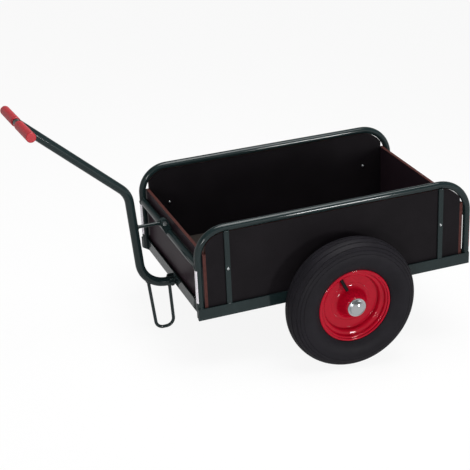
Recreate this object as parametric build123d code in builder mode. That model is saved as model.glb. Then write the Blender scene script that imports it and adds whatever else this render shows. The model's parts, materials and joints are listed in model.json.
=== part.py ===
"""Two-wheeled hand cart: boarded bed, bent tube hoops, drawbar with a cross handle, parking loop."""

from build123d import *
import math
import os

# The bed frame: origin at the middle of the axle, +X to the tail, +Y to the cart's right side
# (seen along the pull, which is towards -X), +Z up, the bed level. All sizes in millimetres.

# Base of angle iron, with the vertical leg outside and the flat leg under the boards
angle_leg = 35.0
angle_wall = 4.0

# Bed tubes: two hoops and two crossbars
hoop_tube_d = 21.3
hoop_tube_wall = 2.0
hoop_leg_spacing = 853.5
hoop_rise = 269.0
hoop_front_bend_r = 80.0
hoop_rear_bend_r = 100.0
bed_ahead_of_axle = 6.0
crossbar_rise = 162.5
cross_beam_inset = 2.0
beam_corner_cut = 26.0
beam_tail_inset = 5.0

# Flat upright bars between hoop and side beam
upright_width = 15.0
upright_thick = 5.0
upright_spacing = 675.5
uprights_ahead_of_bed = 3.7

# Boards
board_thick = 9.5
side_board_gap = 1.0
end_board_rise = 200.5
end_board_corner_r = 5.0

# Axle and wheels
axle_d = 20.0
wheel_spacing = 672.0
tyre_d = 400.0
tyre_width = 101.0
tread_half_width = 38.0
tread_crown = 14.0
rib_pitch = 16.5
rib_groove_r = 2.2
ring_pitch = 10.5
ring_groove_r = 1.1
carcass_thick = 8.0
bead_seat_r = 101.0
bead_width = 9.0
bead_heel_cut = 2.0
rim_inside_half = 29.0
rim_flange_rise = 10.5
rim_lip_reach = 4.5
rim_lip_draft = 1.0
rim_lip_bend_r = 1.5
rim_flange_bend_r = 4.0
rim_seat_bend_r = 6.0
rim_well_bend_r = 8.0
rim_well_r = 88.0
rim_well_half = 14.0
rim_seat_width = 11.0
rim_sheet = 2.5
rim_web_fillet_r = 3.0
hub_length = 84.0
hub_face_r = 30.0
hub_flank_r = 46.0
hub_foot_r = 60.0
hub_face_bend_r = 6.0
hub_flank_bend_r = 16.0
hub_edge_r = 0.5
valve_d = 10.0
valve_length = 33.0
valve_seat_reach = 6.0
valve_lean = 24.0
valve_turn = 22.0
collar_d = 34.0
washer_d = 56.0
washer_thick = 3.0
cap_d = 43.0
cap_wall_height = 7.0
cap_dome_height = 6.0
cap_grip = 9.0

# Drawbar: a level foot, a bend up, a near-upright run, a second bend and the sloping pull run
pole_d = 26.9
pole_wall = 2.6
pole_foot_rise = 3.5
pole_foot_reach = 93.5
pole_upright_lean = 4.4
pole_knee_rise = 308.0
pole_pull_slope = 42.0
pole_pull_length = 396.0
pole_foot_bend_r = 80.0
pole_knee_bend_r = 70.0

# Cross handle, turned a few degrees about the pole as it was welded
handle_tube_d = 21.3
handle_tube_wall = 2.0
handle_length = 286.0
handle_turn = 3.4
grip_d = 28.0
grip_length = 130.0
grip_end_wall = 4.0
grip_end_fillet = 3.0

# Strut, its lug on the crossbar, and the foot bracket on the front beam
rod_d = 10.0
strut_rise = 198.0
eye_r = 12.0
eye_thick = 6.0
lug_reach = 14.5
lug_plate = 5.0
bracket_plate = 5.0
bracket_reach = 14.0
bracket_rise = 18.0
bracket_corner_r = 5.0
bracket_bolt_reach = 8.2
bolt_d = 8.0
bolt_head_width = 13.0
bolt_head_thick = 5.5

# Parking loop
stand_rod_d = 10.0
stand_drop = 152.0
stand_front_reach = 78.8
stand_rear_reach = 12.5
stand_foot_front_reach = 61.0
stand_foot_rear_reach = 5.5
stand_bend_r = 24.0

# Clearances
weld_gap = 0.1
seat_gap = 0.2
bolt_gap = 0.2
running_gap = 0.05
tyre_side_gap = 10.1
end_board_gap = 0.9
end_play = 0.3

# Heights and places worked out from the sizes above
axle_r = axle_d / 2
tyre_r = tyre_d / 2
hoop_r = hoop_tube_d / 2
pole_r = pole_d / 2
deck_z = axle_r + seat_gap
base_z = deck_z - angle_wall
hoop_plane_spacing = wheel_spacing - tyre_width - 2 * (tyre_side_gap + angle_wall) - hoop_tube_d
hoop_y = hoop_plane_spacing / 2
beam_face_y = hoop_y + hoop_r + angle_wall
flange_edge_y = beam_face_y - angle_leg
front_leg_x = -bed_ahead_of_axle - hoop_leg_spacing / 2
rear_leg_x = front_leg_x + hoop_leg_spacing
bed_x = (front_leg_x + rear_leg_x) / 2
rail_z = base_z + hoop_rise
crossbar_z = base_z + crossbar_rise
wheel_y = wheel_spacing / 2
hub_half = hub_length / 2
upright_face_y = hoop_y + hoop_r
board_face_y = upright_face_y - upright_thick
board_back_y = board_face_y - board_thick


# Where the end boards stand: just inside the hoop legs, which bend in before the boards' top edge
inside_x = []
for out, leg_x, bend_r in ((-1, front_leg_x, hoop_front_bend_r), (1, rear_leg_x, hoop_rear_bend_r)):
    over_bend = max(0, end_board_rise - (hoop_rise - bend_r))
    tube_inside = bend_r - math.sqrt((bend_r - hoop_r) ** 2 - over_bend**2)
    inside_x.append(leg_x - out * (tube_inside + end_board_gap + board_thick))
inside_length = inside_x[1] - inside_x[0]
inside_middle_x = (inside_x[0] + inside_x[1]) / 2

SIDES = (("left", -1), ("right", 1))
ENDS = (
    # name, way out, middle of the hoop legs, inner face of the end board, end of the side beams
    ("front", -1, front_leg_x, inside_x[0], front_leg_x - hoop_r),
    ("rear", 1, rear_leg_x, inside_x[1], rear_leg_x + hoop_r - beam_tail_inset),
)
pieces = {}


def along_y(x, y, z):
    """A place whose own Z axis points along +Y."""
    return Location((x, y, z), (-90, 0, 0))


def on_wheel(out, a, r):
    """The Y-Z sketch point of a wheel profile point: a from the wheel's middle plane, r from the axle."""
    return (out * (wheel_y + a), r)


# Base: two side beams with a seat for the axle, two cross beams coped over the side beams
for side, out in SIDES:
    inward = Align.MIN if out < 0 else Align.MAX
    with BuildPart() as side_beam:
        with BuildSketch(Plane.YZ.offset(ENDS[0][-1])):
            with Locations((out * beam_face_y, base_z)):
                Rectangle(angle_leg, angle_leg, align=(inward, Align.MIN))
            with Locations((out * (beam_face_y - angle_wall), deck_z)):
                Rectangle(angle_leg, angle_leg, align=(inward, Align.MIN), mode=Mode.SUBTRACT)
        extrude(amount=ENDS[1][-1] - ENDS[0][-1])
        with Locations(along_y(0, out * beam_face_y, 0)):
            Cylinder(axle_r + weld_gap, 3 * angle_leg, mode=Mode.SUBTRACT)
        with BuildSketch(Plane.XY.offset(base_z)):
            for end, along, leg_x, board_x, end_x in ENDS:
                face_x = leg_x - along * (cross_beam_inset - weld_gap)
                Polygon((end_x, out * flange_edge_y), (end_x, out * (flange_edge_y + beam_corner_cut)),
                        (face_x, out * flange_edge_y), align=None)
        extrude(amount=angle_wall, mode=Mode.SUBTRACT)
    pieces[f"side_beam_{side}"] = side_beam.part

for end, out, leg_x, board_x, end_x in ENDS:
    inward = Align.MIN if out < 0 else Align.MAX
    face_x = leg_x - out * cross_beam_inset
    with BuildPart() as cross_beam:
        with BuildSketch(Plane.XZ):
            with Locations((face_x, base_z)):
                Rectangle(angle_leg, angle_leg, align=(inward, Align.MIN))
            with Locations((face_x - out * angle_wall, deck_z)):
                Rectangle(angle_leg, angle_leg, align=(inward, Align.MIN), mode=Mode.SUBTRACT)
        extrude(amount=hoop_y - hoop_r - weld_gap, both=True)
        for across in (-1, 1):
            with Locations((face_x, across * (flange_edge_y - weld_gap), base_z)):
                Box(3 * angle_leg, angle_leg, angle_wall, mode=Mode.SUBTRACT,
                    align=(Align.CENTER, Align.MIN if across > 0 else Align.MAX, Align.MIN))
    pieces[f"{end}_beam"] = cross_beam.part

# Hoops: one tube a side, bent twice, its legs standing on the side beam's flat leg
for side, out in SIDES:
    y = out * hoop_y
    with BuildPart() as hoop:
        with BuildLine() as hoop_line:
            FilletPolyline(
                (front_leg_x, y, deck_z),
                (front_leg_x, y, rail_z),
                (rear_leg_x, y, rail_z),
                (rear_leg_x, y, deck_z),
                radius=(hoop_front_bend_r, hoop_rear_bend_r),
            )
        with BuildSketch(Plane((front_leg_x, y, deck_z))):
            Circle(hoop_r)
            Circle(hoop_r - hoop_tube_wall, mode=Mode.SUBTRACT)
        sweep()
    pieces[f"hoop_{side}"] = hoop.part

# Crossbars: tubes between the hoop legs, their ends coped to them
for end, out, leg_x, board_x, end_x in ENDS:
    with BuildPart() as crossbar:
        with BuildSketch(Plane.XZ):
            with Locations((leg_x, crossbar_z)):
                Circle(hoop_r)
                Circle(hoop_r - hoop_tube_wall, mode=Mode.SUBTRACT)
        extrude(amount=hoop_y, both=True)
        with Locations((leg_x, -hoop_y, crossbar_z), (leg_x, hoop_y, crossbar_z)):
            Cylinder(hoop_r + weld_gap, 2 * hoop_tube_d, mode=Mode.SUBTRACT)
    pieces[f"{end}_crossbar"] = crossbar.part

# Uprights: flat bars welded inside the beam's vertical leg and under the hoop, straight run or bend
tube_half_height = math.sqrt(hoop_r**2 - (board_face_y - hoop_y) ** 2)
for side, out in SIDES:
    for end, along, bend_r in (("front", -1, hoop_front_bend_r), ("rear", 1, hoop_rear_bend_r)):
        upright_x = along * upright_spacing / 2 - uprights_ahead_of_bed
        straight_half = hoop_leg_spacing / 2 - bend_r
        past_straight = max(0, abs(upright_x) + upright_width / 2 - straight_half)
        under_hoop = math.sqrt((bend_r - tube_half_height) ** 2 - past_straight**2)
        upright_top_z = rail_z - bend_r + under_hoop - seat_gap
        with BuildPart() as upright:
            with Locations((bed_x + upright_x, out * board_face_y, deck_z)):
                Box(upright_width, upright_thick, upright_top_z - deck_z,
                    align=(Align.CENTER, Align.MIN if out > 0 else Align.MAX, Align.MIN))
        pieces[f"upright_{side}_{end}"] = upright.part

# Boards: the sides follow the inside of the hoops, the ends stand across them, the floor lies between
hoop_inside = hoop_r + side_board_gap
for side, out in SIDES:
    with BuildPart() as side_panel:
        with BuildSketch(Plane.XZ.offset(-out * board_back_y)):
            with Locations((bed_x, deck_z)):
                Rectangle(hoop_leg_spacing - 2 * hoop_inside, rail_z - hoop_inside - deck_z,
                          align=(Align.CENTER, Align.MIN))
            fillet(vertices().group_by(Axis.Y)[-1].sort_by(Axis.X)[0], hoop_front_bend_r - hoop_inside)
            fillet(vertices().group_by(Axis.Y)[-1].sort_by(Axis.X)[-1], hoop_rear_bend_r - hoop_inside)
            with Locations((inside_middle_x, deck_z)):
                Rectangle(inside_length, 2 * hoop_rise, mode=Mode.INTERSECT)
        extrude(amount=-out * board_thick)
    pieces[f"side_panel_{side}"] = side_panel.part

for end, out, leg_x, board_x, end_x in ENDS:
    with BuildPart() as end_panel:
        with BuildSketch(Plane.YZ.offset(board_x)):
            with Locations((0, deck_z)):
                Rectangle(2 * board_face_y, base_z + end_board_rise - deck_z,
                          align=(Align.CENTER, Align.MIN))
            fillet(vertices().group_by(Axis.Y)[-1], end_board_corner_r)
        extrude(amount=out * board_thick)
    pieces[f"{end}_panel"] = end_panel.part

with BuildPart() as floor_board:
    with Locations((inside_middle_x, 0, deck_z)):
        Box(inside_length, 2 * board_back_y, board_thick,
            align=(Align.CENTER, Align.CENTER, Align.MIN))
pieces["floor_board"] = floor_board.part

# Axle: one straight bar through both wheels, with a collar, a washer and a cap at each end
hub_inner_y = wheel_y - hub_half
hub_outer_y = wheel_y + hub_half
washer_y = hub_outer_y + end_play
cap_y = washer_y + washer_thick
with BuildPart() as axle:
    with Locations(along_y(0, 0, 0)):
        Cylinder(axle_r, 2 * (cap_y + cap_grip))
pieces["axle"] = axle.part

dome_r = (cap_d**2 / 4 + cap_dome_height**2) / (2 * cap_dome_height)
dome_half = math.asin(cap_d / 2 / dome_r) / 2
for side, out in SIDES:
    collar_y = beam_face_y
    collar_length = hub_inner_y - end_play - collar_y
    with BuildPart() as collar:
        with BuildSketch(Plane.XZ.offset(-out * collar_y)):
            Circle(collar_d / 2)
            Circle(axle_r + weld_gap, mode=Mode.SUBTRACT)
        extrude(amount=-out * collar_length)
    pieces[f"axle_collar_{side}"] = collar.part

    with BuildPart() as washer:
        with BuildSketch(Plane.XZ.offset(-out * washer_y)):
            Circle(washer_d / 2)
            Circle(axle_r + weld_gap, mode=Mode.SUBTRACT)
        extrude(amount=-out * washer_thick)
    pieces[f"axle_washer_{side}"] = washer.part

    with BuildPart() as hub_cap:
        with BuildSketch(Plane.YZ):
            with BuildLine():
                base = out * cap_y
                shoulder = out * (cap_y + cap_wall_height)
                crown = out * (cap_y + cap_wall_height + cap_dome_height)
                bore_end = out * (cap_y + cap_grip + seat_gap)
                dome_middle = (crown - out * dome_r * (1 - math.cos(dome_half)), dome_r * math.sin(dome_half))
                Polyline((bore_end, 0), (bore_end, axle_r + weld_gap), (base, axle_r + weld_gap),
                         (base, cap_d / 2), (shoulder, cap_d / 2))
                ThreePointArc((shoulder, cap_d / 2), dome_middle, (crown, 0))
                Line((crown, 0), (bore_end, 0))
            make_face()
        revolve(axis=Axis.Y)
    pieces[f"hub_cap_{side}"] = hub_cap.part

# Wheels. A profile point is (a, r): a from the wheel's middle plane, r from the axle
rim_flange_r = bead_seat_r + rim_flange_rise
lip_half = rim_inside_half + rim_lip_reach
rim_path = (
    # a, r, radius of the bend there
    (lip_half, rim_flange_r - rim_lip_reach, None),
    (lip_half - rim_lip_draft, rim_flange_r, rim_lip_bend_r),
    (rim_inside_half, rim_flange_r, rim_lip_bend_r),
    (rim_inside_half, bead_seat_r, rim_flange_bend_r),
    (rim_inside_half - rim_seat_width, bead_seat_r, rim_seat_bend_r),
    (rim_well_half, rim_well_r, rim_well_bend_r),
)
hub_path = (
    # a, r, radius of the bend there
    (hub_half, axle_r + running_gap, None),
    (hub_half, hub_face_r, hub_face_bend_r),
    (rim_sheet / 2, hub_flank_r, hub_flank_bend_r),
    (rim_sheet / 2, hub_foot_r, hub_edge_r),
)
bead_r = bead_seat_r + rim_sheet / 2 + seat_gap
bead_heel = rim_inside_half - rim_sheet / 2 - seat_gap
bead_toe = bead_heel - bead_width
neck_r = rim_flange_r + rim_sheet
shoulder_r = tyre_r - tread_crown
widest = tyre_width / 2
widest_r = (neck_r + shoulder_r) / 2
tread_arc_r = (tread_half_width**2 + tread_crown**2) / (2 * tread_crown)

for side, out in SIDES:
    # Tyre: beads, round sidewalls with two rings each, and a crowned tread of five ribs
    with BuildPart() as tyre:
        with BuildSketch(Plane.YZ):
            walls = []
            inner_shoulders = []
            with BuildLine():
                for half in (-1, 1):
                    bead = ((half * bead_toe, neck_r), (half * bead_toe, bead_r),
                            (half * (bead_heel - bead_heel_cut), bead_r),
                            (half * bead_heel, bead_r + bead_heel_cut),
                            (half * bead_heel, neck_r), (half * lip_half, neck_r))
                    Polyline([on_wheel(out, a, r) for a, r in bead])
                    wall = ThreePointArc(on_wheel(out, half * tread_half_width, shoulder_r),
                                         on_wheel(out, half * widest, widest_r),
                                         on_wheel(out, half * lip_half, neck_r))
                    centre = wall.arc_center
                    inside = [centre + (wall @ t - centre) * (1 - carcass_thick / wall.radius)
                              for t in (0, 0.5, 1)]
                    ThreePointArc(inside)
                    Line(inside[-1], on_wheel(out, half * bead_toe, neck_r))
                    walls.append(wall)
                    inner_shoulders.append(inside[0])
                ThreePointArc(walls[0] @ 0, on_wheel(out, 0, tyre_r), walls[1] @ 0)
                ThreePointArc(inner_shoulders[0], on_wheel(out, 0, tyre_r - carcass_thick),
                              inner_shoulders[1])
            make_face()
            rib_angles = [step * rib_pitch / 2 / tread_arc_r for step in range(-5, 6, 2)]
            rib_grooves = [on_wheel(out, tread_arc_r * math.sin(angle),
                                    tyre_r - tread_arc_r * (1 - math.cos(angle))) for angle in rib_angles]
            with Locations(rib_grooves):
                Circle(rib_groove_r, mode=Mode.SUBTRACT)
            with Locations([wall @ (ring * ring_pitch / wall.length) for wall in walls for ring in (1, 2)]):
                Circle(ring_groove_r, mode=Mode.SUBTRACT)
        revolve(axis=Axis.Y)
    pieces[f"tyre_{side}"] = tyre.part

    # Rim: one rolled sheet with a drop centre, and a web welded in its middle plane
    with BuildPart() as rim:
        with BuildSketch(Plane.YZ):
            with BuildLine():
                bends = [bend for a, r, bend in rim_path[1:]]
                FilletPolyline(
                    [on_wheel(out, a, r) for a, r, bend in rim_path]
                    + [on_wheel(out, -a, r) for a, r, bend in reversed(rim_path)],
                    radius=bends + bends[::-1],
                )
                offset(amount=rim_sheet / 2, side=Side.BOTH)
            make_face()
            web_inner_r = hub_foot_r + seat_gap
            with Locations(on_wheel(out, 0, (web_inner_r + rim_well_r) / 2)):
                Rectangle(rim_sheet, rim_well_r - web_inner_r)
            web_corners = vertices().filter_by(lambda corner: abs(corner.X - out * wheel_y) < rim_sheet)
            fillet(web_corners.group_by(Axis.Y)[-1], rim_web_fillet_r)
        revolve(axis=Axis.Y)
    pieces[f"rim_{side}"] = rim.part

    # Hub: a turned boss on each side of a thin flange that meets the rim's web
    with BuildPart() as hub:
        with BuildSketch(Plane.YZ):
            with BuildLine():
                bends = [bend for a, r, bend in hub_path[1:]]
                FilletPolyline(
                    [on_wheel(out, a, r) for a, r, bend in hub_path]
                    + [on_wheel(out, -a, r) for a, r, bend in reversed(hub_path)],
                    radius=bends + bends[::-1],
                )
                bore_ends = (hub_half, -hub_half)
                Line([on_wheel(out, a, axle_r + running_gap) for a in bore_ends])
            make_face()
        revolve(axis=Axis.Y)
    pieces[f"hub_{side}"] = hub.part

    # Valve: a straight stem through the floor of the rim's well
    root_sink = valve_d / 2 * math.sin(math.radians(valve_lean))
    stem_root = Vector(0, out * (wheel_y + valve_seat_reach),
                       rim_well_r - rim_sheet / 2 - root_sink - seat_gap)
    stem_way = Vector(0, out * math.sin(math.radians(valve_lean)), -math.cos(math.radians(valve_lean)))
    with BuildPart() as valve:
        stem_plane = Plane(stem_root, x_dir=(1, 0, 0), z_dir=stem_way)
        with BuildSketch(stem_plane):
            Circle(valve_d / 2)
        extrude(amount=valve_length)
        chamfer(faces().sort_by(Axis(stem_root, stem_way))[-1].edges(), valve_d / 8)
    pieces[f"valve_{side}"] = valve.part.rotate(Axis.Y, -valve_turn)

# Drawbar: its line lies in the cart's middle plane
beam_front_x = front_leg_x + cross_beam_inset
pole_z = base_z + pole_foot_rise
heel_x = beam_front_x - pole_foot_reach
knee_z = base_z + pole_knee_rise
knee_x = heel_x - (knee_z - pole_z) * math.tan(math.radians(pole_upright_lean))
pull_way = Vector(-math.cos(math.radians(pole_pull_slope)), 0, math.sin(math.radians(pole_pull_slope)))
handle_centre = Vector(knee_x, 0, knee_z) + pull_way * pole_pull_length
handle_way = Vector(0, 1, 0).rotate(Axis(handle_centre, pull_way), handle_turn)
pole_start = (beam_front_x - seat_gap, 0, pole_z)
with BuildLine() as pole_line:
    FilletPolyline(
        pole_start,
        (heel_x, 0, pole_z),
        (knee_x, 0, knee_z),
        handle_centre,
        radius=(pole_foot_bend_r, pole_knee_bend_r),
    )
with BuildPart() as pole_envelope:
    with BuildSketch(Plane(pole_start, z_dir=(-1, 0, 0))):
        Circle(pole_r + weld_gap)
    sweep(path=pole_line.line)

bolt_x = beam_front_x - bracket_bolt_reach
with BuildPart() as drawbar:
    with BuildSketch(Plane(pole_start, z_dir=(-1, 0, 0))):
        Circle(pole_r)
        Circle(pole_r - pole_wall, mode=Mode.SUBTRACT)
    sweep(path=pole_line.line)
    with Locations(Plane(handle_centre, z_dir=handle_way)):
        Cylinder(handle_tube_d / 2 + weld_gap, 3 * pole_d, mode=Mode.SUBTRACT)
    with Locations(along_y(bolt_x, 0, pole_z)):
        Cylinder(bolt_d / 2 + bolt_gap, 2 * pole_d, mode=Mode.SUBTRACT)
pieces["drawbar"] = drawbar.part

# Cross handle: one straight tube with a closed grip pushed over each end
with BuildPart() as handle_bar:
    with BuildSketch(Plane(handle_centre, z_dir=handle_way)):
        Circle(handle_tube_d / 2)
        Circle(handle_tube_d / 2 - handle_tube_wall, mode=Mode.SUBTRACT)
    extrude(amount=handle_length / 2, both=True)
pieces["handle_bar"] = handle_bar.part

for side, out in SIDES:
    bar_end = handle_centre + handle_way * (out * handle_length / 2)
    grip_plane = Plane(bar_end + handle_way * (out * (grip_end_wall + seat_gap)), z_dir=handle_way * -out)
    with BuildPart() as grip:
        with BuildSketch(grip_plane):
            Circle(grip_d / 2)
        extrude(amount=grip_length)
        fillet(edges(), grip_end_fillet)
        with BuildSketch(grip_plane.offset(grip_end_wall)):
            Circle(handle_tube_d / 2 + weld_gap)
        extrude(amount=grip_length, mode=Mode.SUBTRACT)
    pieces[f"grip_{side}"] = grip.part

# Strut: a level rod from the drawbar to an eye, held by a bolt between two lug plates
strut_z = base_z + strut_rise
eye_x = front_leg_x - lug_reach
tongue_x = eye_x - eye_r - seat_gap
with BuildPart() as strut:
    with BuildSketch(Plane.YZ.offset(tongue_x)):
        with Locations((0, strut_z)):
            Circle(rod_d / 2)
    extrude(amount=knee_x - tongue_x)
    with BuildSketch(Plane.XZ):
        with BuildLine():
            CenterArc((eye_x, strut_z), eye_r, 0, 360)
            CenterArc((tongue_x - rod_d / 2, strut_z), rod_d / 2, 0, 360)
        make_hull()
    extrude(amount=eye_thick / 2, both=True)
    with Locations(along_y(eye_x, 0, strut_z)):
        Cylinder(bolt_d / 2 + bolt_gap, 2 * rod_d, mode=Mode.SUBTRACT)
    add(pole_envelope.part, mode=Mode.SUBTRACT)
pieces["strut"] = strut.part.solids().sort_by(Axis.X)[-1]

lug_inner_y = eye_thick / 2 + seat_gap
lug_outer_y = lug_inner_y + lug_plate
with BuildPart() as strut_lug:
    for across in (-1, 1):
        with BuildSketch(Plane.XZ.offset(-across * lug_inner_y)):
            with BuildLine():
                CenterArc((eye_x, strut_z), eye_r, 0, 360)
                CenterArc((front_leg_x, crossbar_z), hoop_r, 0, 360)
            make_hull()
        extrude(amount=-across * lug_plate)
    with Locations(along_y(front_leg_x, 0, crossbar_z)):
        Cylinder(hoop_r + weld_gap, 4 * lug_outer_y, mode=Mode.SUBTRACT)
    with Locations(along_y(eye_x, 0, strut_z)):
        Cylinder(bolt_d / 2 + bolt_gap, 4 * lug_outer_y, mode=Mode.SUBTRACT)
pieces["strut_lug"] = strut_lug.part

# Foot bracket: two cheek plates welded to the front beam, with a bolt through the drawbar's foot
cheek_y = pole_r + seat_gap
cheek_outer_y = cheek_y + bracket_plate
with BuildPart() as drawbar_bracket:
    for across in (-1, 1):
        with BuildSketch(Plane.XZ.offset(-across * cheek_y)):
            with Locations((beam_front_x, base_z)):
                Rectangle(bracket_reach, bracket_rise, align=(Align.MAX, Align.MIN))
            fillet(vertices().group_by(Axis.X)[0], bracket_corner_r)
        extrude(amount=-across * bracket_plate)
    with Locations(along_y(bolt_x, 0, pole_z)):
        Cylinder(bolt_d / 2 + bolt_gap, 4 * cheek_outer_y, mode=Mode.SUBTRACT)
pieces["drawbar_bracket"] = drawbar_bracket.part

# Bolts: shank, hexagon head on the left and nut on the right, as one piece
bolt_rows = (
    # node, x, z, half grip
    ("strut_bolt", eye_x, strut_z, lug_outer_y),
    ("drawbar_bolt", bolt_x, pole_z, cheek_outer_y),
)
for node, x, z, half_grip in bolt_rows:
    with BuildPart() as bolt:
        with Locations(along_y(x, 0, z)):
            Cylinder(bolt_d / 2, 2 * (half_grip + bolt_head_thick))
        for across in (-1, 1):
            with BuildSketch(Plane.XZ.offset(-across * (half_grip + seat_gap))):
                with Locations((x, z)):
                    RegularPolygon(bolt_head_width / 2, 6, major_radius=False)
            extrude(amount=-across * bolt_head_thick)
    pieces[node] = bolt.part

# Parking loop: one bent rod welded under the drawbar's foot and lower bend
stand_foot_z = base_z - stand_drop + stand_rod_d / 2
stand_top_front = (beam_front_x - stand_front_reach, 0, pole_z + pole_d)
with BuildPart() as stand:
    with BuildLine() as stand_line:
        FilletPolyline(
            stand_top_front,
            (beam_front_x - stand_foot_front_reach, 0, stand_foot_z),
            (beam_front_x - stand_foot_rear_reach, 0, stand_foot_z),
            (beam_front_x - stand_rear_reach, 0, pole_z),
            radius=stand_bend_r,
        )
    with BuildSketch(Plane(stand_top_front, z_dir=stand_line.line % 0)):
        Circle(stand_rod_d / 2)
    sweep()
    add(pole_envelope.part, mode=Mode.SUBTRACT)
pieces["stand"] = stand.part.solids().sort_by(Axis.Z)[0]

# Parked, the cart leans forward until the loop's front bend and both wheels touch the floor
foot_bend_x = stand_line.line.edges().filter_by(GeomType.CIRCLE)[0].arc_center.X
foot_bend_z = stand_line.line.edges().filter_by(GeomType.CIRCLE)[0].arc_center.Z
foot_bend_outer_r = stand_bend_r + stand_rod_d / 2
reach = math.hypot(foot_bend_x, foot_bend_z)
park_lean = math.degrees(
    math.acos((tyre_r - foot_bend_outer_r) / reach) - math.atan2(-foot_bend_x, -foot_bend_z)
)
lean = Location((0, 0, tyre_r), (0, park_lean, 0))
leaning = Compound(children=[piece.moved(lean) for piece in pieces.values()]).bounding_box()
park = Location((-leaning.center().X, 0, 0)) * lean

os.makedirs("parts", exist_ok=True)
for node, piece in pieces.items():
    parked = piece.moved(park)
    parked.label = node
    export_step(parked, f"parts/{node}.step")
print(f"{len(pieces)} pieces, park lean {park_lean:.2f} degrees, lowest {leaning.min.Z:.3f}")
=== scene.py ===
# %% [markdown]
# # A two-wheeled hand cart, dressed for a studio picture
# The steel, boards and wheels come ready made as a fixed frame of solids, so this lesson adds what a
# drawing office leaves out: paint, rubber, chrome and film-faced board, the weld beads, the screws and
# the reflective tapes. Everything is in metres, in the frame of the solids.

# %% Load the frame
import bpy
import json
import math
import numpy as np
from mathutils import Matrix, Vector


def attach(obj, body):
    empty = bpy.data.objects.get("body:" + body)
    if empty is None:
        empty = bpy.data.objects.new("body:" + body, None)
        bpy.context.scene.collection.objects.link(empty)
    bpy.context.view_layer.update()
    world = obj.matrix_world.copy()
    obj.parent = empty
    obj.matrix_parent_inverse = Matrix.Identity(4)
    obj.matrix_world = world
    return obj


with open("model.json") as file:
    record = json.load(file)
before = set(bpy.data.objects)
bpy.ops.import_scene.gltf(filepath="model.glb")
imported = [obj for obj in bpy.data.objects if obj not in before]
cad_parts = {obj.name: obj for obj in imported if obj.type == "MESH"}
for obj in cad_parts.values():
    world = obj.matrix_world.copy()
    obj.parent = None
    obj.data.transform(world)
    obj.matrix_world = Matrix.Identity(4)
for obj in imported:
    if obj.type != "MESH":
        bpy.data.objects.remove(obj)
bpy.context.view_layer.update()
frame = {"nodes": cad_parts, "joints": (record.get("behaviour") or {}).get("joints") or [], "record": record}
nodes = frame["nodes"]

# %% [markdown]
# ## The bed's own axes
# The cart is parked: it leans forward on its rod loop, so the bed isn't level. Screws, welds and tapes
# are easier to place in the bed's own axes, with the origin in the middle of the axle and X along the
# bed to the tail. The lean can be read from the record: the tail beam's face looks along the bed's X,
# and the wheel joints give the axle.

# %% Bed axes, in millimetres
MM = 0.001
joints = {joint["name"]: joint for joint in frame["joints"]}
mounts = {mount["name"]: mount for mount in frame["record"]["mounts"]}
axle_middle = Vector(joints["left_wheel_spin"]["pos_m"])
axle_middle.y = 0
bed_x_axis = Vector(mounts["rear_beam_face"]["axis"]).normalized()
bed_y_axis = Vector((0, 1, 0))
bed_z_axis = bed_x_axis.cross(bed_y_axis)
bed_turn = Matrix((bed_x_axis, bed_y_axis, bed_z_axis)).transposed()
bed = Matrix.Translation(axle_middle) @ bed_turn.to_4x4() @ Matrix.Scale(MM, 4)
to_bed = bed.inverted()


def corners_in_bed(*names):
    """The lowest and highest corner of some nodes together, in the bed's axes and millimetres."""
    turn_to_bed, shift_to_bed = np.array(to_bed)[:3, :3], np.array(to_bed)[:3, 3]
    lows, highs = [], []
    for name in names:
        mesh = nodes[name].data
        points = np.empty(len(mesh.vertices) * 3)
        mesh.vertices.foreach_get("co", points)
        points = points.reshape(-1, 3) @ turn_to_bed.T + shift_to_bed
        lows.append(points.min(0))
        highs.append(points.max(0))
    return np.min(lows, 0), np.max(highs, 0)


print("bed lean:", round(math.degrees(math.asin(bed_x_axis.z)), 2), "degrees")

# %% [markdown]
# ## The camera
# The picture was taken from ahead of the left wheel, above the cart, with a long lens. The camera
# stands four metres away, so near and far wheels keep almost the same size. It is placed in the bed's
# axes, where the straight tubes gave its angles, and then carried to the floor's axes with the bed.

# %% Camera
CAMERA_PLACE = (-1429.9, -3362.9, 1767.6)
CAMERA_TURN = -19.71
CAMERA_TILT = 24.80
CAMERA_ROLL = -2.68
FOCAL_PIXELS = 1297.1
IMAGE_PIXELS = 470
SENSOR = 36.0
FAR_CLIP = 100.0

turn, tilt, roll = (math.radians(angle) for angle in (CAMERA_TURN, CAMERA_TILT, CAMERA_ROLL))
look = Vector((-math.sin(turn) * math.cos(tilt), math.cos(turn) * math.cos(tilt), -math.sin(tilt)))
level_right = look.cross(Vector((0, 0, 1))).normalized()
level_up = level_right.cross(look)
right = level_right * math.cos(roll) + level_up * math.sin(roll)
up = level_up * math.cos(roll) - level_right * math.sin(roll)
camera_turn = Matrix((right, up, -look)).transposed()

camera = bpy.data.objects.new("camera", bpy.data.cameras.new("camera"))
bpy.context.scene.collection.objects.link(camera)
camera.data.sensor_width = SENSOR
camera.data.lens = FOCAL_PIXELS * SENSOR / IMAGE_PIXELS
camera.data.clip_end = FAR_CLIP
camera_place = Matrix.Translation(bed @ Vector(CAMERA_PLACE))
camera.matrix_world = camera_place @ (bed_turn @ camera_turn).to_4x4()
bpy.context.scene.camera = camera
print("lens:", round(camera.data.lens, 1), "mm, looking along", [round(c, 3) for c in bed_turn @ look])

# %% [markdown]
# ## Helpers for materials
# Colours are written as sRGB hex values, the way a paint card gives them, and turned to the linear
# light that a shader needs. One small function adds any node with its settings and links, so a
# material reads as a list of steps.

# %% Colour and node helpers
def colour(hex_text):
    """A linear RGBA colour from an sRGB hex value."""
    parts = [int(hex_text[place:place + 2], 16) / 255 for place in (1, 3, 5)]
    return [c / 12.92 if c <= 0.04045 else ((c + 0.055) / 1.055) ** 2.4 for c in parts] + [1.0]


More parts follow.
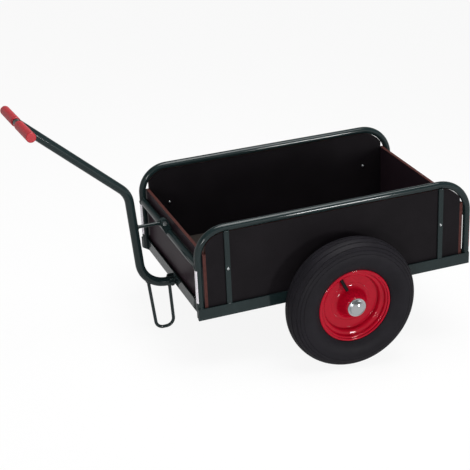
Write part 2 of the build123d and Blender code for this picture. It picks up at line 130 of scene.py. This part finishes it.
def add(tree, kind, settings=None, inputs=None):
    """Adds a node: settings are its properties, inputs are values or the sockets linked to it."""
    made = tree.nodes.new(kind)
    for name, value in (settings or {}).items():
        setattr(made, name, value)
    for name, value in (inputs or {}).items():
        if isinstance(value, bpy.types.NodeSocket):
            tree.links.new(value, made.inputs[name])
        else:
            made.inputs[name].default_value = value
    return made


# A mix node has several sockets of one name, so these are given by number.
COLOUR_A, COLOUR_B, COLOUR_OUT = 6, 7, 2
VALUE_A, VALUE_B = 2, 3


def begin(name):
    """A new material with an empty tree and the object's own coordinates."""
    material = bpy.data.materials.new(name)
    material.use_nodes = True
    tree = material.node_tree
    tree.nodes.clear()
    return material, tree, add(tree, "ShaderNodeTexCoord").outputs["Object"]


def per_metre(millimetres):
    """A pattern's scale from the size of one of its cells."""
    return 1000 / millimetres


# %% [markdown]
# ## Powder-coated steel
# The tubes and angle irons are sprayed with powder that melts in an oven to a dark blue-green grey
# skin. To the eye it is glossy with a faint orange peel, a ripple of two or three millimetres that
# breaks the edge of each highlight. A noise in the bump gives that ripple, and a wider one makes the
# gloss a little uneven, as it is where the powder lay thicker.

# %% Frame enamel
enamel, tree, place = begin("powder_coated_steel")
peel = add(tree, "ShaderNodeTexNoise", inputs={"Vector": place, "Scale": per_metre(3), "Detail": 2.0})
patches = add(tree, "ShaderNodeTexNoise",
              inputs={"Vector": place, "Scale": per_metre(60), "Detail": 4.0})
shade = add(tree, "ShaderNodeMix", {"data_type": "RGBA"},
            {"Factor": patches.outputs["Fac"], COLOUR_A: colour("#142021"), COLOUR_B: colour("#1D2A2B")})
gloss = add(tree, "ShaderNodeMapRange",
            inputs={"Value": patches.outputs["Fac"], "To Min": 0.26, "To Max": 0.4})
ripple = add(tree, "ShaderNodeBump",
             inputs={"Height": peel.outputs["Fac"], "Strength": 0.12, "Distance": 0.0002})
skin = add(tree, "ShaderNodeBsdfPrincipled", inputs={
    "Base Color": shade.outputs[COLOUR_OUT], "Roughness": gloss.outputs["Result"],
    "Normal": ripple.outputs["Normal"], "Specular IOR Level": 0.05,
    "Coat Weight": 0.65, "Coat Roughness": 0.05})
add(tree, "ShaderNodeOutputMaterial", inputs={"Surface": skin.outputs["BSDF"]})
print("made", enamel.name)

# %% [markdown]
# ## Film-faced plywood
# The boards are birch plywood pressed between two sheets of brown-black phenol film. The faces are
# dark and satin, with a faint cloudiness from the press; the sawn edges are sealed with red-brown
# paint, through which the glued plies still show as thin lines. Which is face and which is edge
# follows from the surface's own direction, so one recipe serves every board: the direction of the
# board's thickness changes, and so do the film's colours. The end boards' lighter violet film is a
# painted reflection, the pale sheen their faces catch from the floor at a grazing angle, and the floor
# board has a lighter brown-grey film.

# %% Boards
PLY = 1.5
EDGE_FACING = 0.7


def film_faced_plywood(name, thickness_way, dark="#131113", light="#1D1A1D"):
    """Phenol-filmed plywood whose plies are stacked along thickness_way."""
    material, tree, place = begin(name)
    normal = add(tree, "ShaderNodeTexCoord").outputs["Normal"]
    facing = add(tree, "ShaderNodeVectorMath", {"operation": "DOT_PRODUCT"},
                 {0: normal, 1: thickness_way})
    square_on = add(tree, "ShaderNodeMath", {"operation": "ABSOLUTE"}, {0: facing.outputs["Value"]})
    is_edge = add(tree, "ShaderNodeMath", {"operation": "LESS_THAN"},
                  {0: square_on.outputs[0], 1: EDGE_FACING})
    clouds = add(tree, "ShaderNodeTexNoise",
                 inputs={"Vector": place, "Scale": per_metre(90), "Detail": 5.0})
    film = add(tree, "ShaderNodeMix", {"data_type": "RGBA"},
               {"Factor": clouds.outputs["Fac"], COLOUR_A: colour(dark), COLOUR_B: colour(light)})
    depth = add(tree, "ShaderNodeVectorMath", {"operation": "DOT_PRODUCT"},
                {0: place, 1: thickness_way})
    plies = add(tree, "ShaderNodeMath", {"operation": "MULTIPLY"},
                {0: depth.outputs["Value"], 1: per_metre(PLY)})
    layer = add(tree, "ShaderNodeMath", {"operation": "PINGPONG"}, {0: plies.outputs[0], 1: 1.0})
    grain = add(tree, "ShaderNodeTexNoise",
                inputs={"Vector": place, "Scale": per_metre(8), "Detail": 6.0})
    mottle = add(tree, "ShaderNodeMath", {"operation": "MULTIPLY"},
                 {0: layer.outputs[0], 1: grain.outputs["Fac"]})
    sealed = add(tree, "ShaderNodeMix", {"data_type": "RGBA"},
                 {"Factor": mottle.outputs[0], COLOUR_A: colour("#38221F"), COLOUR_B: colour("#6E413D")})
    tone = add(tree, "ShaderNodeMix", {"data_type": "RGBA"},
               {"Factor": is_edge.outputs[0],
                COLOUR_A: film.outputs[COLOUR_OUT], COLOUR_B: sealed.outputs[COLOUR_OUT]})
    rough = add(tree, "ShaderNodeMapRange",
                inputs={"Value": is_edge.outputs[0], "To Min": 0.4, "To Max": 0.55})
    fine = add(tree, "ShaderNodeTexNoise",
               inputs={"Vector": place, "Scale": per_metre(1.5), "Detail": 3.0})
    relief = add(tree, "ShaderNodeBump",
                 inputs={"Height": fine.outputs["Fac"], "Strength": 0.15, "Distance": 0.0002})
    skin = add(tree, "ShaderNodeBsdfPrincipled", inputs={
        "Base Color": tone.outputs[COLOUR_OUT], "Roughness": rough.outputs["Result"],
        "Normal": relief.outputs["Normal"], "Specular IOR Level": 0.06})
    add(tree, "ShaderNodeOutputMaterial", inputs={"Surface": skin.outputs["BSDF"]})
    return material


side_board = film_faced_plywood("film_faced_plywood_sides", bed_y_axis)
# the end boards' lighter violet film is painted reflection: the floor's pale sheen on their faces, put into
# the colour
end_board_painted_reflection = film_faced_plywood("film_faced_plywood_ends_painted_reflection", bed_x_axis, "#271D23", "#34292F")
floor_sheet = film_faced_plywood("film_faced_plywood_floor", bed_z_axis, "#2B2826", "#3B3633")
print("made", side_board.name, end_board_painted_reflection.name, floor_sheet.name)

# %% [markdown]
# ## Stove enamel on the rims
# The pressed steel rims are dipped in a bright red enamel and baked hard. It is the glossiest paint on
# the cart, so the studio lamp shows as small white windows in it. A clear coat on top of a slightly
# softer red gives that depth.

# %% Rim enamel
rim_red, tree, place = begin("baked_red_enamel")
flow = add(tree, "ShaderNodeTexNoise", inputs={"Vector": place, "Scale": per_metre(25), "Detail": 2.0})
shade = add(tree, "ShaderNodeMix", {"data_type": "RGBA"},
            {"Factor": flow.outputs["Fac"], COLOUR_A: colour("#A0061F"), COLOUR_B: colour("#AE0A26")})
sag = add(tree, "ShaderNodeBump",
          inputs={"Height": flow.outputs["Fac"], "Strength": 0.03, "Distance": 0.0005})
skin = add(tree, "ShaderNodeBsdfPrincipled", inputs={
    "Base Color": shade.outputs[COLOUR_OUT], "Roughness": 0.3, "Normal": sag.outputs["Normal"],
    "Specular IOR Level": 0.02, "Coat Weight": 0.5, "Coat Roughness": 0.03})
add(tree, "ShaderNodeOutputMaterial", inputs={"Surface": skin.outputs["BSDF"]})
print("made", rim_red.name)

# %% [markdown]
# ## Moulded rubber
# The tyres come out of a polished mould, so new rubber isn't quite matt: it has a soft sheen with a
# bloom of wax that lightens it in clouds. The fine grain is drawn at a millimetre, coarser than real,
# so that it shows.

# %% Tyre rubber
tyre_rubber, tree, place = begin("moulded_tyre_rubber")
bloom = add(tree, "ShaderNodeTexNoise", inputs={"Vector": place, "Scale": per_metre(70), "Detail": 5.0})
grain = add(tree, "ShaderNodeTexNoise", inputs={"Vector": place, "Scale": per_metre(1), "Detail": 2.0})
shade = add(tree, "ShaderNodeMix", {"data_type": "RGBA"},
            {"Factor": bloom.outputs["Fac"], COLOUR_A: colour("#161518"), COLOUR_B: colour("#222025")})
sheen = add(tree, "ShaderNodeMapRange",
            inputs={"Value": bloom.outputs["Fac"], "To Min": 0.45, "To Max": 0.62})
pores = add(tree, "ShaderNodeBump",
            inputs={"Height": grain.outputs["Fac"], "Strength": 0.2, "Distance": 0.0003})
skin = add(tree, "ShaderNodeBsdfPrincipled", inputs={
    "Base Color": shade.outputs[COLOUR_OUT], "Roughness": sheen.outputs["Result"],
    "Normal": pores.outputs["Normal"], "Specular IOR Level": 0.1})
add(tree, "ShaderNodeOutputMaterial", inputs={"Surface": skin.outputs["BSDF"]})
print("made", tyre_rubber.name)

# %% [markdown]
# ## Valve rubber
# The valve stems and their dust caps are small mouldings of a blacker rubber. They have no bloom yet, so
# one even grain is enough; it is drawn at almost a millimetre, coarser than real, so that it shows.

# %% Valve rubber
valve_rubber, tree, place = begin("moulded_valve_rubber")
grain = add(tree, "ShaderNodeTexNoise",
            inputs={"Vector": place, "Scale": per_metre(0.8), "Detail": 3.0})
shade = add(tree, "ShaderNodeMix", {"data_type": "RGBA"},
            {"Factor": grain.outputs["Fac"], COLOUR_A: colour("#0E0E0F"), COLOUR_B: colour("#1A1A1C")})
pores = add(tree, "ShaderNodeBump",
            inputs={"Height": grain.outputs["Fac"], "Strength": 0.2, "Distance": 0.0002})
skin = add(tree, "ShaderNodeBsdfPrincipled", inputs={
    "Base Color": shade.outputs[COLOUR_OUT], "Roughness": 0.5, "Normal": pores.outputs["Normal"],
    "Specular IOR Level": 0.12})
add(tree, "ShaderNodeOutputMaterial", inputs={"Surface": skin.outputs["BSDF"]})
print("made", valve_rubber.name)

# %% [markdown]
# ## Bright metals
# The hub caps are pressed steel with a mirror of chrome. The axle ends, washers, bolts and screws are
# only zinc plated: greyer, softer and slightly streaked by the bath. Both keep a metal's default IOR.

# %% Chrome and zinc
chrome, tree, place = begin("chromed_steel")
haze = add(tree, "ShaderNodeTexNoise", inputs={"Vector": place, "Scale": per_metre(12), "Detail": 4.0})
polish = add(tree, "ShaderNodeMapRange",
             inputs={"Value": haze.outputs["Fac"], "To Min": 0.04, "To Max": 0.1})
skin = add(tree, "ShaderNodeBsdfPrincipled", inputs={
    "Base Color": colour("#CDD0D2"), "Metallic": 1.0, "Roughness": polish.outputs["Result"]})
add(tree, "ShaderNodeOutputMaterial", inputs={"Surface": skin.outputs["BSDF"]})

zinc, tree, place = begin("zinc_plated_steel")
spangle = add(tree, "ShaderNodeTexNoise",
              inputs={"Vector": place, "Scale": per_metre(4), "Detail": 5.0})
shade = add(tree, "ShaderNodeMix", {"data_type": "RGBA"},
            {"Factor": spangle.outputs["Fac"], COLOUR_A: colour("#AEB3B6"), COLOUR_B: colour("#D6DADB")})
polish = add(tree, "ShaderNodeMapRange",
             inputs={"Value": spangle.outputs["Fac"], "To Min": 0.22, "To Max": 0.38})
skin = add(tree, "ShaderNodeBsdfPrincipled", inputs={
    "Base Color": shade.outputs[COLOUR_OUT], "Metallic": 1.0, "Roughness": polish.outputs["Result"]})
add(tree, "ShaderNodeOutputMaterial", inputs={"Surface": skin.outputs["BSDF"]})
print("made", chrome.name, zinc.name)

# %% [markdown]
# ## Soft vinyl grips
# The grips are dip-moulded vinyl, pushed on wet. They are a little pinker than the rims and have a
# nubbed skin for the hand, with nubs of about four millimetres.

# %% Grip vinyl
vinyl, tree, place = begin("moulded_red_vinyl")
nubs = add(tree, "ShaderNodeTexVoronoi", inputs={"Vector": place, "Scale": per_metre(4)})
worn = add(tree, "ShaderNodeTexNoise", inputs={"Vector": place, "Scale": per_metre(30), "Detail": 4.0})
shade = add(tree, "ShaderNodeMix", {"data_type": "RGBA"},
            {"Factor": worn.outputs["Fac"], COLOUR_A: colour("#A0141F"), COLOUR_B: colour("#B81E2C")})
knobs = add(tree, "ShaderNodeBump", {"invert": True},
            {"Height": nubs.outputs["Distance"], "Strength": 0.14, "Distance": 0.0008})
skin = add(tree, "ShaderNodeBsdfPrincipled", inputs={
    "Base Color": shade.outputs[COLOUR_OUT], "Roughness": 0.42, "Normal": knobs.outputs["Normal"],
    "Specular IOR Level": 0.5})
add(tree, "ShaderNodeOutputMaterial", inputs={"Surface": skin.outputs["BSDF"]})
print("made", vinyl.name)

# %% [markdown]
# ## Finish the solids
# Each solid takes the finish that its name calls for. The first row that fits wins.

# %% Dress the nodes
FINISHES = (
    # start of the node's name, finish
    ("tyre", tyre_rubber),
    ("rim", rim_red),
    ("hub_cap", chrome),
    ("hub", rim_red),
    ("valve", valve_rubber),
    ("axle", zinc),
    ("strut_bolt", zinc),
    ("drawbar_bolt", enamel),
    ("grip", vinyl),
    ("side_panel", side_board),
    ("front_panel", end_board_painted_reflection),
    ("rear_panel", end_board_painted_reflection),
    ("floor_board", floor_sheet),
    ("", enamel),
)
for name, piece in nodes.items():
    finish = next(material for start, material in FINISHES if name.startswith(start))
    piece.data.materials.clear()
    piece.data.materials.append(finish)
print("finishes:", sorted({piece.data.materials[0].name for piece in nodes.values()}))

# %% [markdown]
# ## Helpers for added pieces
# Screws, tapes and weld beads are all skins drawn through rings of points. A ring may be a circle about
# an axis, as a lathe would leave it, or a cross-section carried along a seam. Each piece is drawn in the
# bed's axes and rides on the body that carries it on the real cart.

# %% Skins through rings
def loft(rings, closed_ring=True):
    """Points and faces of the skin through rings that all have the same number of points."""
    count = len(rings[0])
    faces = []
    for step in range(len(rings) - 1):
        for span in range(count if closed_ring else count - 1):
            here, beside = step * count + span, step * count + (span + 1) % count
            faces.append((here, beside, beside + count, here + count))
    return [point for ring in rings for point in ring], faces


def make(name, skin, material, body="cart"):
    """A smooth piece from a skin in the bed's axes. It rides on a body and names its finish's slot."""
    points, faces = skin
    mesh = bpy.data.meshes.new(name)
    mesh.from_pydata([bed @ Vector(point) for point in points], [], faces)
    mesh.polygons.foreach_set("use_smooth", [True] * len(mesh.polygons))
    mesh.materials.append(material)
    piece = bpy.data.objects.new(name, mesh)
    bpy.context.scene.collection.objects.link(piece)
    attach(piece, body)
    return piece


def across(way):
    """Two directions at right angles to way and to each other."""
    first = Vector(way).orthogonal().normalized()
    return first, Vector(way).normalized().cross(first)


def turned(profile, foot, way, count=24):
    """The skin of a turned piece: profile rows are (height along way, radius)."""
    first, second = across(way)
    turns = [2 * math.pi * step / count for step in range(count)]
    spokes = [first * math.cos(turn) + second * math.sin(turn) for turn in turns]
    return loft([[Vector(foot) + Vector(way) * height + spoke * radius for spoke in spokes]
                 for height, radius in profile])


# %% [markdown]
# ## Dome-head screws
# The uprights hold the side boards with one screw each. On the cart they are bright zinc mushroom heads,
# outside on the bar and inside on the board, and they show as small points of light.

# %% Screws
SCREW_RISE = 144.0
HEAD_R = 4.5
HEAD_RISE = 3.6
HEAD_ANGLES = [math.radians(angle) for angle in (0, 15, 30, 45, 60, 75, 89)]
HEAD_PROFILE = [(HEAD_RISE * math.sin(angle), HEAD_R * math.cos(angle)) for angle in HEAD_ANGLES]
beam_low, beam_high = corners_in_bed("side_beam_left")
screw_z = beam_low[2] + SCREW_RISE
screws = []
for side, out in (("left", -1), ("right", 1)):
    panel_low, panel_high = corners_in_bed(f"side_panel_{side}")
    board_inside = panel_high[1] if out < 0 else panel_low[1]
    for end in ("front", "rear"):
        low, high = corners_in_bed(f"upright_{side}_{end}")
        bar_outside = low[1] if out < 0 else high[1]
        middle_x = (low[0] + high[0]) / 2
        for face, y, way in (("outer", bar_outside, out), ("inner", board_inside, -out)):
            skin = turned(HEAD_PROFILE, (middle_x, y, screw_z), (0, way, 0))
            screws.append(make(f"screw_{side}_{end}_{face}", skin, zinc))
print("screws:", len(screws))

# %% [markdown]
# ## Reflective tapes
# Road carts carry white reflectors in front and red ones behind. Here they are strips of prismatic tape,
# stuck round the outer half of the hoop legs. The tape is a clear film over tiny prisms, sealed along a
# net of lines; the prisms are too fine to draw, so only the net of six-millimetre cells is.

# %% Prismatic film
NET_CELL = 6
NET_LINE = 0.06


def prismatic_tape(name, light, dark):
    """Reflective film: a sealed net of cells in a bright colour."""
    material, tree, place = begin(name)
    cells = add(tree, "ShaderNodeTexVoronoi", {"feature": "DISTANCE_TO_EDGE"},
                {"Vector": place, "Scale": per_metre(NET_CELL), "Randomness": 0.2})
    line = add(tree, "ShaderNodeMath", {"operation": "LESS_THAN"},
               {0: cells.outputs["Distance"], 1: NET_LINE})
    shade = add(tree, "ShaderNodeMix", {"data_type": "RGBA"},
                {"Factor": line.outputs[0], COLOUR_A: colour(light), COLOUR_B: colour(dark)})
    skin = add(tree, "ShaderNodeBsdfPrincipled", inputs={
        "Base Color": shade.outputs[COLOUR_OUT], "Roughness": 0.22, "Coat Weight": 0.3,
        "Coat Roughness": 0.05})
    add(tree, "ShaderNodeOutputMaterial", inputs={"Surface": skin.outputs["BSDF"]})
    return material


white_tape = prismatic_tape("white_prismatic_film", "#EFEAF0", "#D8D2DA")
red_tape = prismatic_tape("red_prismatic_film", "#C81E2C", "#A01420")
print("made", white_tape.name, red_tape.name)

# %% Tapes
TAPE_THICK = 0.35
TAPE_HALF_ANGLE = 52
TAPE_STEPS = 8
TAPE_LOW, TAPE_HIGH = 52.0, 154.0
tapes = []
for side in ("left", "right"):
    low, high = corners_in_bed(f"hoop_{side}")
    tube_r = (high[1] - low[1]) / 2
    tape_r = tube_r + TAPE_THICK
    middle_y = (low[1] + high[1]) / 2
    legs = (("front", -1, low[0] + tube_r, white_tape), ("rear", 1, high[0] - tube_r, red_tape))
    for end, way, leg_x, film in legs:
        angles = [math.radians(way * TAPE_HALF_ANGLE * step / TAPE_STEPS)
                  for step in range(-TAPE_STEPS, TAPE_STEPS + 1)]
        arc = [(leg_x + way * tape_r * math.cos(angle), middle_y + tape_r * math.sin(angle))
               for angle in angles]
        rings = [[(x, y, beam_low[2] + rise) for x, y in arc] for rise in (TAPE_LOW, TAPE_HIGH)]
        tapes.append(make(f"tape_{side}_{end}", loft(rings, closed_ring=False), film))
print("tapes:", len(tapes))

# %% [markdown]
# ## Weld beads
# The frame is welded by hand before it is powder coated, so every joint keeps a small rippled bead under
# the paint. A seam is found the way a welder's torch finds it: points round the end of the first tube
# run along that tube until they meet the second piece. The bead is a round section carried along the
# seam, a little thicker at every ripple.

# %% Seams between tubes
from mathutils.bvhtree import BVHTree

BEAD_R = 2.2
BEAD_TIP_R = 0.1
BEAD_SIDES = 8
RIPPLE = 3.0
RIPPLE_SHARE = 0.16


def surface(node):
    """A search tree of a node's faces, in the bed's axes."""
    mesh = nodes[node].data
    return BVHTree.FromPolygons([to_bed @ vertex.co for vertex in mesh.vertices],
                                [tuple(face.vertices) for face in mesh.polygons])


def seam(start, way, radius, node, count=48):
    """The runs of points where a tube, going from start along way, meets a node's surface."""
    first, second = across(way)
    target = surface(node)
    hits = []
    for step in range(count):
        turn = 2 * math.pi * step / count
        point = Vector(start) + (first * math.cos(turn) + second * math.sin(turn)) * radius
        hits.append(target.ray_cast(point, Vector(way).normalized())[0])
    if None not in hits:
        return [hits + hits[:1]]
    gap = hits.index(None)
    runs = [[]]
    for hit in hits[gap:] + hits[:gap]:
        if hit is not None:
            runs[-1].append(hit)
        elif runs[-1]:
            runs.append([])
    return [run for run in runs if len(run) > 2]


def bead(points):
    """The skin of a rippled bead along a seam. A bead that isn't a full round ends in points."""
    full_round = (points[0] - points[-1]).length < BEAD_TIP_R
    rings = []
    travelled = 0.0
    first = None
    for index, point in enumerate(points):
        way = (points[min(index + 1, len(points) - 1)] - points[max(index - 1, 0)]).normalized()
        travelled += (point - points[max(index - 1, 0)]).length
        first = across(way)[0] if first is None else (first - way * first.dot(way)).normalized()
        second = way.cross(first)
        radius = BEAD_R * (1 + RIPPLE_SHARE * math.sin(2 * math.pi * travelled / RIPPLE))
        if index in (0, len(points) - 1) and not full_round:
            radius = BEAD_TIP_R
        rings.append([point + (first * math.cos(turn) + second * math.sin(turn)) * radius
                      for turn in (2 * math.pi * step / BEAD_SIDES for step in range(BEAD_SIDES))])
    return loft(rings)


def straight(start, end):
    """Points along a straight seam, one each millimetre."""
    start, end = Vector(start), Vector(end)
    count = max(3, round((end - start).length))
    return [start.lerp(end, step / count) for step in range(count + 1)]


# %% Places of the welded joints
hoop_low, hoop_high = corners_in_bed("hoop_left", "hoop_right")
tube_r = (corners_in_bed("hoop_left")[1] - corners_in_bed("hoop_left")[0])[1] / 2
hoop_y = hoop_high[1] - tube_r
beam_top = beam_high[2]
leg_places = {"front": hoop_low[0] + tube_r, "rear": hoop_high[0] - tube_r}
front_face_x = corners_in_bed("front_beam")[0][0]
pole_low, pole_high = corners_in_bed("drawbar")
strut_low, strut_high = corners_in_bed("strut")
stand_low, stand_high = corners_in_bed("stand")
bracket_low, bracket_high = corners_in_bed("drawbar_bracket")
handle_middle = sum(corners_in_bed("handle_bar")) / 2
pole_r = (pole_high[1] - pole_low[1]) / 2
rod_r = (stand_high[1] - stand_low[1]) / 2
PULL_SLOPE = math.radians(42)
pull_way = Vector((-math.cos(PULL_SLOPE), 0, math.sin(PULL_SLOPE)))
# how far before its joint each run starts, and the loop's legs: place ahead of the beam and way up
STRUT_RUN, PULL_RUN, STAND_RUN_RISE = 40, 60, 40
STAND_FRONT_AHEAD, STAND_FRONT_WAY = 64.7, (-17.8, 0, 168.4)
STAND_REAR_AHEAD, STAND_REAR_WAY = 7.1, (-7, 0, 146)
stand_z = stand_low[2] + STAND_RUN_RISE
strut_start = (strut_high[0] - STRUT_RUN, 0, (strut_low[2] + strut_high[2]) / 2)
pull_start = Vector(handle_middle) - pull_way * PULL_RUN
TUBE_JOINTS = (
    # name, start of the tube's run, its way, radius, what it meets
    ("strut", strut_start, (-1, 0, 0), rod_r, "drawbar"),
    ("handle", pull_start, pull_way, pole_r, "handle_bar"),
    ("stand_front", (front_face_x - STAND_FRONT_AHEAD, 0, stand_z), STAND_FRONT_WAY, rod_r, "drawbar"),
    ("stand_rear", (front_face_x - STAND_REAR_AHEAD, 0, stand_z), STAND_REAR_WAY, rod_r, "drawbar"),
)
BRACKET_SEAM_RISE = 1
HOOP_SEAM_TURNS = [math.radians(angle) for angle in range(-42, 43, 6)]
print("tube joints:", [row[0] for row in TUBE_JOINTS])

# %% Welded joints
seams = []
for name, start, way, radius, node in TUBE_JOINTS:
    seams += [(f"{name}_{index}", run) for index, run in enumerate(seam(start, way, radius, node))]
for end, leg_x in leg_places.items():
    bar_z = sum(corners_in_bed(f"{end}_crossbar"))[2] / 2
    for side, out in (("left", -1), ("right", 1)):
        bar_runs = seam((leg_x, 0, bar_z), (0, out, 0), tube_r, f"hoop_{side}")
        seams += [(f"crossbar_{end}_{side}", run) for run in bar_runs]
        foot_arc = []
        for turn in HOOP_SEAM_TURNS:
            arc_y = out * (hoop_y + tube_r * math.cos(turn))
            foot_arc.append(Vector((leg_x + tube_r * math.sin(turn), arc_y, beam_top)))
        seams.append((f"hoop_{end}_{side}", foot_arc))
        low, high = corners_in_bed(f"upright_{side}_{end}")
        bar_y = low[1] if out < 0 else high[1]
        for place, z in (("foot", beam_top), ("top", high[2])):
            across_bar = straight((low[0], bar_y, z), (high[0], bar_y, z))
            seams.append((f"upright_{place}_{end}_{side}", across_bar))
for side, y in (("left", bracket_low[1]), ("right", bracket_high[1])):
    foot = (bracket_high[0], y, bracket_low[2] + BRACKET_SEAM_RISE)
    seams.append((f"bracket_{side}", straight(foot, (bracket_high[0], y, bracket_high[2]))))
for name, points in seams:
    make(f"weld_{name}", bead(points), enamel)
print("weld beads:", len(seams))

# %% [markdown]
# ## Valve caps
# The rubber stems end in a small screwed dust cap, a turned form like the screw heads. The stem's own
# line is the longest way through its points, and the cap sits on the end that looks at the axle.

# %% Valve caps
# rows are (height along the stem, radius)
CAP_PROFILE = ((-3.0, 4.6), (-2.6, 4.8), (3.4, 4.6), (4.4, 4.2), (5.0, 3.2), (5.2, 0.05))
for side in ("left", "right"):
    mesh = nodes[f"valve_{side}"].data
    points = np.array([(to_bed @ vertex.co)[:] for vertex in mesh.vertices])
    middle = points.mean(0)
    way = Vector(np.linalg.svd(points - middle)[2][0])
    along = (points - middle) @ np.array(way)
    ends = [Vector(middle) + way * reach for reach in (along.min(), along.max())]
    tip, root = sorted(ends, key=lambda end: math.hypot(end.x, end.z))
    skin = turned(CAP_PROFILE, tip, (tip - root).normalized())
    make(f"valve_cap_{side}", skin, valve_rubber, f"wheel_{side}")
    print("valve tip", side, [round(c, 1) for c in tip])

# %% [markdown]
# ## The studio
# A pale floor runs out to a white background, as it would on a roll of paper. The camera sees both as
# white. Gloss sees the same floor and background too, but dimmer, as if they stood in half light, so
# that dark paint stays dark. Three lamps give the form. A tall box far away to the right of the camera
# draws the long line on the rails and the white windows in the red enamel, a small one to its left
# the glint on the front bends, and a wide one overhead lights the tops and throws the soft shadow.

# %% World
SKY_SEEN = 0.95
SKY_LIGHT = 0.4
MIRRORED_LOW, MIRRORED_HIGH = 0.6, 0.15
DIM_FROM, DIM_TO = 0.1, 0.4
world = bpy.data.worlds.new("studio")
bpy.context.scene.world = world
world.use_nodes = True
tree = world.node_tree
tree.nodes.clear()
ray = add(tree, "ShaderNodeLightPath")
mirrored = add(tree, "ShaderNodeMath", {"operation": "MAXIMUM"},
               {0: ray.outputs["Is Glossy Ray"], 1: ray.outputs["Is Transmission Ray"]})
way = add(tree, "ShaderNodeTexCoord").outputs["Generated"]
height = add(tree, "ShaderNodeSeparateXYZ", inputs={"Vector": way}).outputs["Z"]
dim = add(tree, "ShaderNodeMapRange", inputs={
    "Value": height, "From Min": DIM_FROM, "From Max": DIM_TO,
    "To Min": MIRRORED_LOW, "To Max": MIRRORED_HIGH})
given = add(tree, "ShaderNodeMix", inputs={
    "Factor": mirrored.outputs[0], VALUE_A: SKY_LIGHT, VALUE_B: dim.outputs["Result"]})
level = add(tree, "ShaderNodeMix", inputs={
    "Factor": ray.outputs["Is Camera Ray"], VALUE_A: given.outputs[0], VALUE_B: SKY_SEEN})
sky = add(tree, "ShaderNodeBackground", inputs={"Color": (1, 1, 1, 1), "Strength": level.outputs[0]})
add(tree, "ShaderNodeOutputWorld", inputs={"Surface": sky.outputs["Background"]})
print("made", world.name)

# %% Floor
FLOOR_HALF = 12.0
FLOOR_SEEN, FLOOR_MIRRORED = 1.0, 0.55
GLOW_SHARE = 0.9
paper, tree, _ = begin("white_paper_floor")
matt = add(tree, "ShaderNodeBsdfDiffuse", inputs={"Color": colour("#F2F2F2")})
ray = add(tree, "ShaderNodeLightPath")
strength = add(tree, "ShaderNodeMix", inputs={
    "Factor": ray.outputs["Is Camera Ray"], VALUE_A: FLOOR_MIRRORED, VALUE_B: FLOOR_SEEN})
glow = add(tree, "ShaderNodeEmission", inputs={"Color": (1, 1, 1, 1), "Strength": strength.outputs[0]})
mirrored = add(tree, "ShaderNodeMath", {"operation": "MAXIMUM"},
               {0: ray.outputs["Is Glossy Ray"], 1: ray.outputs["Is Transmission Ray"]})
seen = add(tree, "ShaderNodeMath", {"operation": "MAXIMUM"},
           {0: ray.outputs["Is Camera Ray"], 1: mirrored.outputs[0]})
share = add(tree, "ShaderNodeMath", {"operation": "MULTIPLY"}, {0: seen.outputs[0], 1: GLOW_SHARE})
both = add(tree, "ShaderNodeMixShader",
           inputs={0: share.outputs[0], 1: matt.outputs[0], 2: glow.outputs[0]})
add(tree, "ShaderNodeOutputMaterial", inputs={"Surface": both.outputs[0]})

floor_mesh = bpy.data.meshes.new("floor")
corners = [(x * FLOOR_HALF, y * FLOOR_HALF, 0) for x, y in ((-1, -1), (1, -1), (1, 1), (-1, 1))]
floor_mesh.from_pydata(corners, [], [(0, 1, 2, 3)])
floor_mesh.materials.append(paper)
floor = bpy.data.objects.new("floor", floor_mesh)
bpy.context.scene.collection.objects.link(floor)
print("made", paper.name)

# %% Lamps
LAMPS = (
    # name, place, aim, width, height, watts
    ("key_box", (5.9, -14.25, 2.0), (0.2, -0.3, 0.3), 1.4, 2.6, 690.0),
    ("left_box", (-1.37, -3.02, 0.66), (0.0, -0.3, 0.3), 0.3, 0.54, 20.0),
    ("overhead_box", (0.3, -0.3, 2.7), (0.2, -0.2, 0.3), 1.8, 1.8, 62.0),
)
for name, spot, aim, width, tall, watts in LAMPS:
    lamp = bpy.data.objects.new(name, bpy.data.lights.new(name, "AREA"))
    bpy.context.scene.collection.objects.link(lamp)
    lamp.data.shape = "RECTANGLE"
    lamp.data.size = width
    lamp.data.size_y = tall
    lamp.data.energy = watts
    lamp.location = spot
    lamp.rotation_euler = (Vector(aim) - Vector(spot)).to_track_quat("-Z", "Y").to_euler()
bpy.context.scene.view_settings.view_transform = "Standard"
print("lamps:", [row[0] for row in LAMPS])
